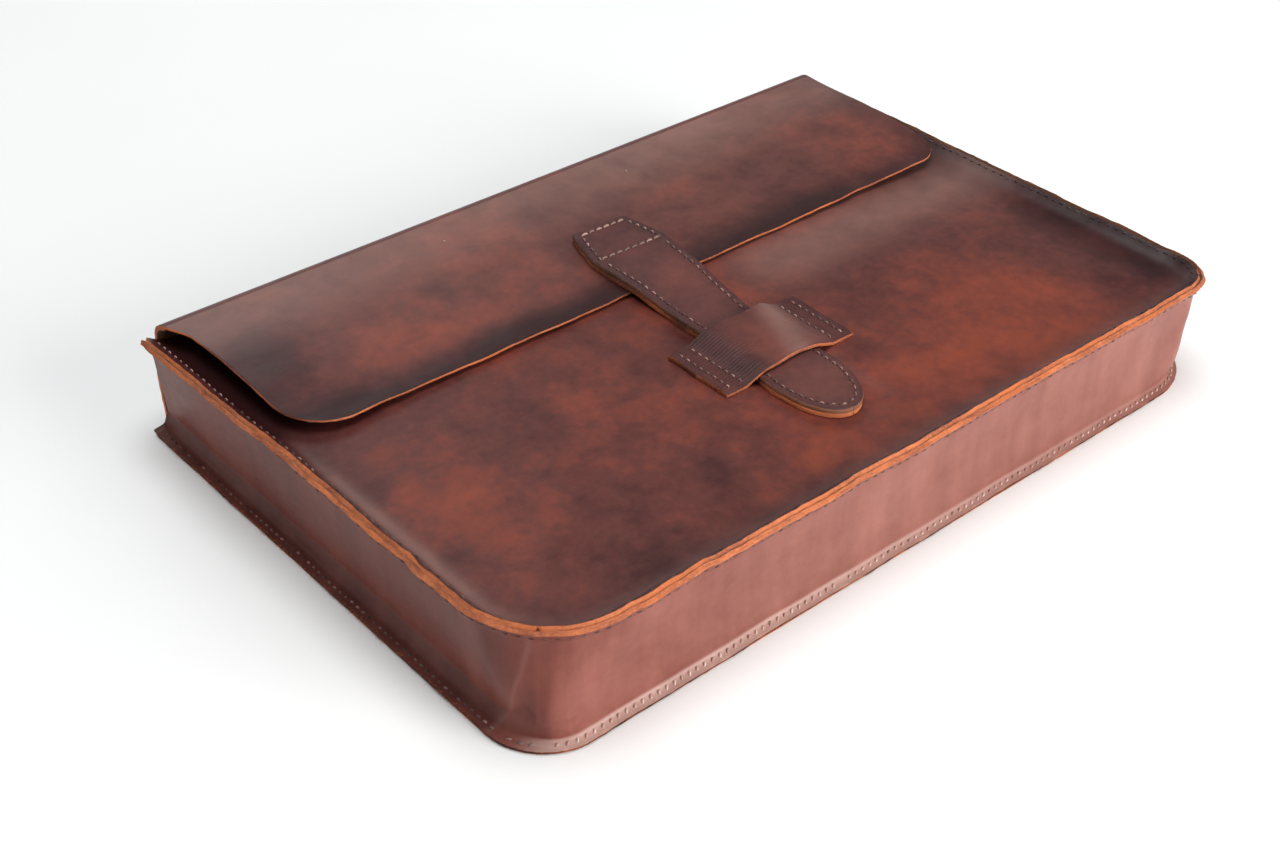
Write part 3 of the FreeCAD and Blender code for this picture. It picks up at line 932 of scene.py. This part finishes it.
def crumple(station, height):
    """Soft upright folds where the gusset is gathered round its corners, and slow waves along its walls."""
    folds = [(marks[2] + 6, 7, 0.6), (marks[2] + 24, 9, -0.6),
             (marks[3] - 12, 8, -0.6), (marks[3] + 6, 5, 0.9), (marks[3] + 17, 4, -1.2),
             (marks[3] + 26, 4, 1), (marks[4] + 3, 7, -0.7)]
    out = sum(size * hump(station, place, width) for place, width, size in folds)
    out = out + 0.55 * sines(station, (173, 91, 57), 31)
    soft = out * past(height, 4, 12) * past(height, 44, -14)
    facet = flattened(station, corner_ridge(height), marks[1] + 18.2)
    return soft + facet * past(height, 8, 5) * past(height, 43, -4)


def flattened(station, start, end):
    """How far in a flat facet lies from the round of the near corner, between two creases."""
    half = (end - start) / 2 / corner_run * math.pi / 2
    angle = (station - (start + end) / 2) / corner_run * math.pi / 2
    facet = 30 * (np.cos(half) / np.cos(np.clip(angle, -half, half)) - 1)
    return np.where(np.abs(angle) < half, 1.3 * facet, 0)


def gusset_point(station, inward, height):
    """Place of a gusset point, from its station, its distance inward and its height."""
    inward, height = leaned(inward, height, station)
    share = past(height, 13, 29)
    waist = hump(height, 12, 7)
    radius_left = base_radii[0] + (rim_radii[0] - base_radii[0]) * share - 5 * waist
    radius_right = np.interp(height, [3, 9, 30], [base_radii[1], 27.5, rim_radii[1]])
    x, y, out_x, out_y = outline(station, radius_left, radius_right)
    out, up = rim_sway(station)
    near_rim = past(height, 34, 9)
    base_out = 0.35 * sines(station, (119, 61, 33), 17) * past(height, 6, -3)
    reach = crumple(station, height) + out * near_rim + base_out - inward
    fold_rise = 6 - np.sqrt(36 - np.clip(y - (back - 6), 0, 5) ** 2)
    lifted = height + up * near_rim + fold_rise * past(height, 12, -8)
    return np.stack([x + out_x * reach, y + out_y * reach, lifted], axis=-1)


def gusset_flat(x, y, station):
    """Position along the gusset strip as it was cut, so that marks on it run straight up its walls."""
    cut_short = 0.43 * seam_corner
    corner_start = mouth_y - front - cut_short
    down_left = mouth_y - y
    across = corner_start + x - left
    up_right = corner_start + right - left - cut_short + y - front
    turn_left = past(station, marks[1], corner_run)
    turn_right = past(station, marks[3], corner_run)
    return (down_left * (1 - turn_left) + across * turn_left) * (1 - turn_right) + up_right * turn_right


def gusset_leather():
    """The strip round three sides, sewn flat to the back panel, its top standing out under the rim."""
    run = gusset_run_in
    skived = 0.9 + 1.1 * past(run, 0, 6)
    steps = []
    for a, b, step in zip(marks, marks[1:], (2.6, 0.7, 2.6, 1, 2.6)):
        steps.append(np.linspace(a, b, math.ceil((b - a) / step) + 1)[:-1])
    stations = np.concatenate([[0, 0.6, 1.4], *steps, [marks[5] - 1.4, marks[5] - 0.6, marks[5] - 1e-6]])
    stations = np.unique(np.round(stations, 4))
    station = spread(stations, len(run))
    rows = np.repeat(run[None, :], len(stations), axis=0)
    inward, up, normal_in, normal_up = gusset_section(station, rows)
    pared = 0.25 * past(rows, run[-1] - 3.6, 3)
    grain = gusset_point(station, inward - normal_in * pared, up - normal_up * pared)
    under_side = gusset_point(station, inward - normal_in * skived, up - normal_up * skived)
    flat = np.dstack([gusset_flat(grain[..., 0], grain[..., 1], station), rows])
    height = grain[..., 2]
    along_front = past(station, marks[1] + 17, 2)
    on_left = 1 - smooth((station - corner_ridge(height)) / 2 + 0.5)
    # left wall: the flange below 9 mm is darker, and painted light lifts the lower wall, which falls in shade
    tone = on_left * (-0.2 * past(height, 9, -1.4) + 0.07 * past(height, 26, -14) - 0.02)
    # painted light: the near wall lighter, where the key light falls, fading out along the right side
    tone += 0.13 * along_front * past(station, marks[5], -200)
    # painted shade in the crease just right of the corner's flat facet
    tone -= 0.16 * hump(station, marks[1] + 21, 4) * along_front
    # painted sheen on the near flange, fading towards the right, a faint one over the walls from the near
    # corner on, and a painted highlight along the corner ridge
    painted_sheen = 0.8 * past(station, marks[1] + 8, 20) * past(height, 4.2, -1.5)
    painted_sheen *= past(station, marks[2] + 420, -420)
    painted_sheen += 0.07 * past(station, marks[1] + 26, 120)
    painted_sheen += 0.1 * hump(station, corner_ridge(height), 0.8)
    edge_tone = np.where(rows < 8, -0.46, rim_edge_tone(station) - 0.02)
    made = hide_piece("gusset_leather", grain, flat, tone, gusset_grain, orange_edge, edge_tone, 24,
                      under_side, painted_sheen=painted_sheen, bulge=0, rough=0.24)
    dress(made, "root", "gusset_leather", "gusset")


gusset_leather()


# ---- strap ----

strap_turn = math.radians(-2)
strap_top_y = 65
strap_tip_y = -86.5
strap_spade_y = -59


def strap_half(v):
    """Half width of the strap along its length, down to where its rounded tip begins."""
    return np.interp(v, [strap_spade_y, -22, 45, strap_top_y], [15.9, 12.8, 18.3, 13.4])


def strap_plan(u, v):
    x = 2 + u * math.cos(strap_turn) - (v - strap_top_y) * math.sin(strap_turn)
    y = strap_top_y + u * math.sin(strap_turn) + (v - strap_top_y) * math.cos(strap_turn)
    return x, y


def strap_rows(inset_by, step):
    """(v, half width) from the top to the tip, for an outline moved in by a distance."""
    count = math.ceil((strap_top_y - strap_spade_y) / step)
    straight = np.linspace(strap_top_y - inset_by, strap_spade_y, count)
    angles = np.radians(np.linspace(0, 89.2, 22)[1:])
    reach = strap_spade_y - strap_tip_y - inset_by
    v = np.concatenate([straight, strap_spade_y - reach * np.sin(angles)])
    tip_half = (strap_half(strap_spade_y) - inset_by) * np.cos(angles)
    return v, np.concatenate([strap_half(straight) - inset_by, tip_half])


def strap_top(x, y):
    return strap_under(x, y) + 2 * leather


def bend_with_strap(made, slot, *nodes_replaced):
    """For a piece that bends where the strap leaves the flap: bake its placement into its mesh and hide the
    CAD nodes it stands for; slot is not used.
    """
    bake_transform(made)
    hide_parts(*nodes_replaced)


def strap_layer(name, low, edge_side, edge_shade, nodes_replaced, seed):
    """One of the strap's two layers, low above what the strap lies on."""
    v, half = strap_rows(0, 2.2)
    columns = spaced(1, [0, 0.04, 0.09, 0.15, 0.21, 0.28], 0.13)
    half = half + 0.2 * sines(v, (37, 21, 11), seed)
    u_grid = columns * half[:, None]
    v_grid = spread(v, len(columns))
    x, y = strap_plan(u_grid, v_grid)
    crown = 0.25 * (1 - columns ** 4) - 0.15
    base = strap_under(x, y)
    grain = np.dstack([x, y, base + low + leather + crown * (low > 0)])
    under_side = np.dstack([x, y, base + low])
    flat = np.dstack([u_grid, v_grid])
    edge_gap = half[:, None] * (1 - np.abs(columns))
    tone = -0.22 * np.exp(-edge_gap / 2.6) + 0.1 * hump(v_grid, 10, 26) + 0.1 * hump(v_grid, -70, 14)
    edge_tone = edge_shade + 0.4 * past(v_grid, -50, -14)
    made = hide_piece(name, grain, flat, tone, strap_grain, edge_side, edge_tone, seed, under_side)
    bend_with_strap(made, "strap_leather", *nodes_replaced)


strap_layer("strap_lining_layer", 0, orange_edge, -0.13, ("strap_anchor_lining", "strap_tail_lining"), 41)
strap_layer("strap_face_layer", leather, brown_edge, -0.05, ("strap_anchor_face", "strap_tail_face"), 42)


# ---- keeper ----

keeper_x = (keeper_low.x + keeper_high.x) / 2
keeper_y = -35
keeper_half = 33
keeper_thick = leather * 0.95


def keeper_under(x, y):
    away = np.abs(x - keeper_x)
    share = (y - keeper_low.y) / (keeper_high.y - keeper_low.y)
    rise = 3.35 + 0.95 * share
    slack = 0.25 * sines(y + x * 0.4, (21, 13), 51) * past(away, 22, -8)
    return panel_plain(x, y) + 0.05 + rise * past(away, 24.6, -13) + slack


def keeper_leather():
    """The wide loop over the strap, with rubbed ribs at its left."""
    columns = keeper_x + spaced(keeper_half, [0, 0.5, 1.1, 1.9, 2.9], 1.3)
    half_width = (keeper_high.y - keeper_low.y) / 2
    rows = keeper_low.y + half_width + spaced(half_width, [0, 0.35, 0.7, 1.05, 1.4], 0.35)
    y, x = np.meshgrid(rows, columns, indexing="ij")
    sag = 0.7 * hump(x, keeper_x, 15) * (y < keeper_y)
    y = y + 0.5 * sines(x, (43, 23), 52) * np.sign(y - keeper_y) + sag
    x = x + 0.3 * sines(y, (31, 17), 53) * (np.abs(x - keeper_x) > 28)
    bottom = keeper_under(x, y)
    under_side = np.dstack([x, y, bottom])
    normals = grid_normals(under_side)
    normals = normals * np.where(normals[..., 2:] < 0, -1, 1)
    skived = 0.65 * np.exp(-((rows[:, None, None] - rows[0]) / 1.8) ** 2)
    grain = under_side + normals * (keeper_thick - skived)
    striae = 0.13 * np.sin(y * 4.2 + 0.6 * np.sin(x / 3)) * past(x, keeper_x - 4, -8)
    grain[..., 2] += striae
    run = run_along(np.column_stack([columns, bottom[len(rows) // 2]]))
    flat = np.dstack([np.repeat(run[None, :], len(rows), axis=0), y])
    end_gap = keeper_half - np.abs(x - keeper_x)
    edge_gap = np.minimum(end_gap, np.minimum(keeper_high.y - y, y - keeper_low.y))
    tone = -0.16 * fading(edge_gap, 2.4) + 0.2 * hump(x, keeper_x - 1, 11)
    tone -= 0.06 * past(np.abs(x - keeper_x - 1), 13, 9)
    tone -= 0.16 * hump(x, keeper_x - 17, 8)
    # painted sheen: faint all over the keeper, with a stronger slanting band right of its middle
    painted_sheen = 0.05 + 0.42 * hump(x - 0.35 * (y - keeper_y), keeper_x + 11, 6)
    edge_tone = np.where(y < keeper_y, -0.08, -0.3)
    made = hide_piece("keeper_leather", grain, flat, tone, keeper_grain, orange_edge, edge_tone, 25,
                      under_side, painted_sheen=painted_sheen)
    dress(made, "root", "keeper_leather", "keeper")


keeper_leather()


# ---- stitching ----

first, last = 4, marks[5] - 4
under_row_in = 3.2
strap_seam_in = 2.8


def on_surface(x, y, surface, lift=0):
    """Points and normals of a plan line laid on a height surface."""
    x, y = np.asarray(x, float), np.asarray(y, float)
    nudge = 0.2
    slope_x = (surface(x + nudge, y) - surface(x - nudge, y)) / (2 * nudge)
    slope_y = (surface(x, y + nudge) - surface(x, y - nudge)) / (2 * nudge)
    normals = unit(np.column_stack([-slope_x, -slope_y, np.ones(len(x))]))
    return np.column_stack([x, y, surface(x, y)]) + normals * lift, normals


def gusset_line(run, lift, start, end):
    """A line along the gusset's grain side at one place of its section, between two stations."""
    station = np.arange(start, end, 1)
    inward, up, normal_in, normal_up = gusset_section(station, run)
    here = gusset_point(station, inward, up)
    normals = unit(gusset_point(station, inward + normal_in, up + normal_up) - here)
    return here + normals * lift, normals


def panel_run():
    """A run on the front panel's rim, part of the way down its slope."""
    share, lift = 0.45, -0.1
    station = np.arange(first, last, 1)
    x, y, out_x, out_y = outline(station, *rim_radii)
    out, _ = rim_sway(station)
    corner_in, corner_up = leaned(rim_inset, rim_top, station)
    distance_in = corner_in + share * (corner_up - valley) / np.tan(rim_slope(station))
    hold = np.exp(-(distance_in - corner_in) / 4)
    points, normals = on_surface(x - out_x * distance_in, y - out_y * distance_in, panel_top, lift)
    points[:, 0] += out_x * out * hold
    points[:, 1] += out_y * out * hold
    return points, normals


def front_seam():
    """Light dots at the left end of the seam, sunk and painted dark with shade from there on, and the same
    row under the rim, also painted dark with shade.
    """
    points, normals = panel_run()
    under = gusset_line(gusset_run_in[-1] - 2.6, -0.2, first, last)
    # the last number of each run is its stitches' lightness: painted shade darkens those in the shaded rim
    # and under it
    runs = [(*under, 2.4, 7, -0.9)]
    for start, end, lift, length, light in ((0, 62, 0.12, 1.9, 0.1), (64, 118, 0.05, 1.9, -0.4),
                                            (120, len(points), 0, 2.6, -0.9)):
        chosen = slice(start, end)
        runs.append((points[chosen] + lift * normals[chosen], normals[chosen], length, 7, light))
    made = stitch_piece("front_seam_stitches", runs, 61, width=0.58, holes=0.6)
    dress(made, "root", "thread", "front_seam_thread")


front_seam()

# each part's last number is its stitches' lightness: painted shade darkens the left side's, painted light
# brightens the near and right sides'
seam_parts = [(first, marks[1] + 2, 2, 8, -0.5), (marks[1] + 6, marks[1] + 20, 2.6, 20, 0),
              (marks[1] + 24, marks[2] + 120, 2.7, 55, 0.8), (marks[2] + 124, last, 2.3, 30, 0.7)]
base_runs = [(*gusset_line(2.5, -0.14, start, end), *style) for start, end, *style in seam_parts]
under_line = gusset_line(under_row_in, 0, first, last)[0]
under_points = np.column_stack([under_line[:, :2], np.full(len(under_line), 0.82)])
under_normals = np.tile([0, 0, -1], (len(under_points), 1))
base_runs.append((under_points, under_normals, 3, 7, 0))
base_stitches = stitch_piece("base_seam_stitches", base_runs, 62, pitch=3.5, width=0.95, holes=0.12)
dress(base_stitches, "root", "thread", "base_seam_thread")

keeper_ys = np.linspace(keeper_low.y + 1.6, keeper_high.y - 1.6, 40)
for side, word in ((-1, "left"), (1, "right")):
    runs = []
    for row in (23.6, 29.6):
        line = on_surface(np.full(len(keeper_ys), keeper_x + side * row), keeper_ys,
                          lambda x, y: keeper_under(x, y) + keeper_thick, 0.03)
        runs.append((*line, 1.9, 5, 0))
    stitches = stitch_piece(f"keeper_stitches_{word}", runs, 63, pitch=3.9, width=0.7)
    dress(stitches, "root", "thread", f"keeper_thread_{word}")


def strap_edge_line(side, from_v, to_v=strap_tip_y):
    v, half = strap_rows(strap_seam_in, 1)
    chosen = (v <= from_v) & (v >= to_v)
    return strap_plan(side * half[chosen], v[chosen])


def strap_lines():
    split = 41
    both = zip(strap_edge_line(-1, split), strap_edge_line(1, split))
    tail = on_surface(*[np.concatenate([down, up[::-1]]) for down, up in both], strap_top, 0.12)
    sides = [on_surface(*strap_edge_line(side, 62, split + 1), strap_top, 0.05) for side in (-1, 1)]
    rows = []
    for v, half in ((strap_top_y - strap_seam_in, 11.2), (43.6, 15.4)):
        u = np.linspace(-half, half, 30)
        rows.append(on_surface(*strap_plan(u, np.full(len(u), v)), strap_top, 0.12))
    return tail, sides, rows


tail_line, side_lines, cross_lines = strap_lines()
tail_stitches = stitch_piece("strap_edge_stitches", [(*tail_line, 2, 7, -0.2)], 65, width=0.72)
bend_with_strap(tail_stitches, "thread", "strap_edge_thread")
anchor_runs = [(*line, 2, 7, -0.2) for line in side_lines] + [(*line, 3.5, 4, 0.05) for line in cross_lines]
anchor_stitches = stitch_piece("strap_anchor_stitches", anchor_runs, 66, pitch=4, width=0.95)
dress(anchor_stitches, "flap", "thread", "strap_anchor_thread")

edge_x, edge_y, out_x, out_y = outline(np.arange(10, marks[1] - 6, 2), *base_radii)
edge_points = np.column_stack([edge_x, edge_y, np.full(len(edge_x), 1.9)])
edge_outward = np.column_stack([out_x, out_y, np.zeros(len(edge_x))])
fuzz = fibre_piece("base_edge_fibres", edge_points, edge_outward, 420, 71)
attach(fuzz, "root")


# ---- floor, light and camera ----

def make_floor():
    """A pale floor that glows faintly near the case and more beyond it, up to the studio's own brightness."""
    mesh = bpy.data.meshes.new("floor")
    reach = 20.0
    mesh.from_pydata([(-reach, -reach, 0), (reach, -reach, 0), (reach, reach, 0), (-reach, reach, 0)], [],
                     [(0, 1, 2, 3)])
    nodes = Nodes("pale_floor")
    where = nodes.add("ShaderNodeTexCoord", {}, "Object")
    tint = nodes.noise(where, 3)
    away = nodes.add("ShaderNodeVectorMath", {0: where}, "Value", operation="LENGTH")
    beyond = nodes.maths("MULTIPLY", nodes.maths("SUBTRACT", away, 1.4), 0.7, clamp=True)
    glow = nodes.maths("ADD", nodes.maths("MULTIPLY", beyond, 0.6), 0.06)
    paint = nodes.ramp(tint, [(0.3, (0.86, 0.86, 0.85)), (0.7, (0.9, 0.9, 0.895))])
    mesh.materials.append(nodes.finish(Base_Color=paint, Roughness=0.6, Specular_IOR_Level=0.2,
                                       Emission_Strength=glow, Emission_Color=(0.97, 1, 1, 1)))
    floor = placed("floor", mesh)


def softbox(name, place, aim, size, power, tint):
    """A round soft light that points at a spot."""
    light = bpy.data.lights.new(name, "AREA")
    light.shape = "DISK"
    light.size = size
    light.energy = power
    light.color = tint
    lamp = placed(name, light)
    lamp.location = place
    way = np.array(aim, float) - np.array(place, float)
    flat_reach = math.hypot(way[0], way[1])
    lamp.rotation_euler = (math.atan2(flat_reach, -way[2]), 0, math.atan2(-way[0], way[1]))


def make_light():
    """A studio that is bright near the horizon and darker overhead, and three soft lights."""
    world = bpy.data.worlds.new("studio")
    world.use_nodes = True
    tree = world.node_tree
    where = tree.nodes.new("ShaderNodeTexCoord")
    split = tree.nodes.new("ShaderNodeSeparateXYZ")
    ramp = tree.nodes.new("ShaderNodeValToRGB")
    tree.links.new(where.outputs["Generated"], split.inputs[0])
    tree.links.new(split.outputs["Z"], ramp.inputs["Fac"])
    tree.links.new(ramp.outputs["Color"], tree.nodes["Background"].inputs["Color"])
    ramp.color_ramp.elements.new(0.3)
    for element, (height, shade) in zip(ramp.color_ramp.elements, ((0.03, 0.88), (0.3, 0.34), (0.6, 0.17))):
        element.position = height
        element.color = (shade * 0.97, shade, shade, 1)
    tree.nodes["Background"].inputs["Strength"].default_value = 1
    bpy.context.scene.world = world
    softbox("key", (0.55, -1.75, 0.62), (0, 0, 0.02), 1.3, 40, (1, 0.98, 0.96))
    softbox("overhead", (0, 0.1, 1.9), (0, 0, 0), 1.5, 26, (0.97, 0.99, 1))
    softbox("back", (0.6, 1.85, 1.3), (0, 0, 0.02), 1, 3.6, (0.96, 0.98, 1))
    bpy.context.scene.view_settings.view_transform = "Standard"


def make_camera():
    data = bpy.data.cameras.new("camera")
    data.lens = 52.2
    data.sensor_width = 36
    camera = placed("camera", data)
    camera.location = (-0.42819, -0.44774, 0.43486)
    camera.rotation_euler = [math.radians(angle) for angle in (54.008, -0.789, -41.013)]
    bpy.context.scene.camera = camera


make_floor()
make_light()
make_camera()
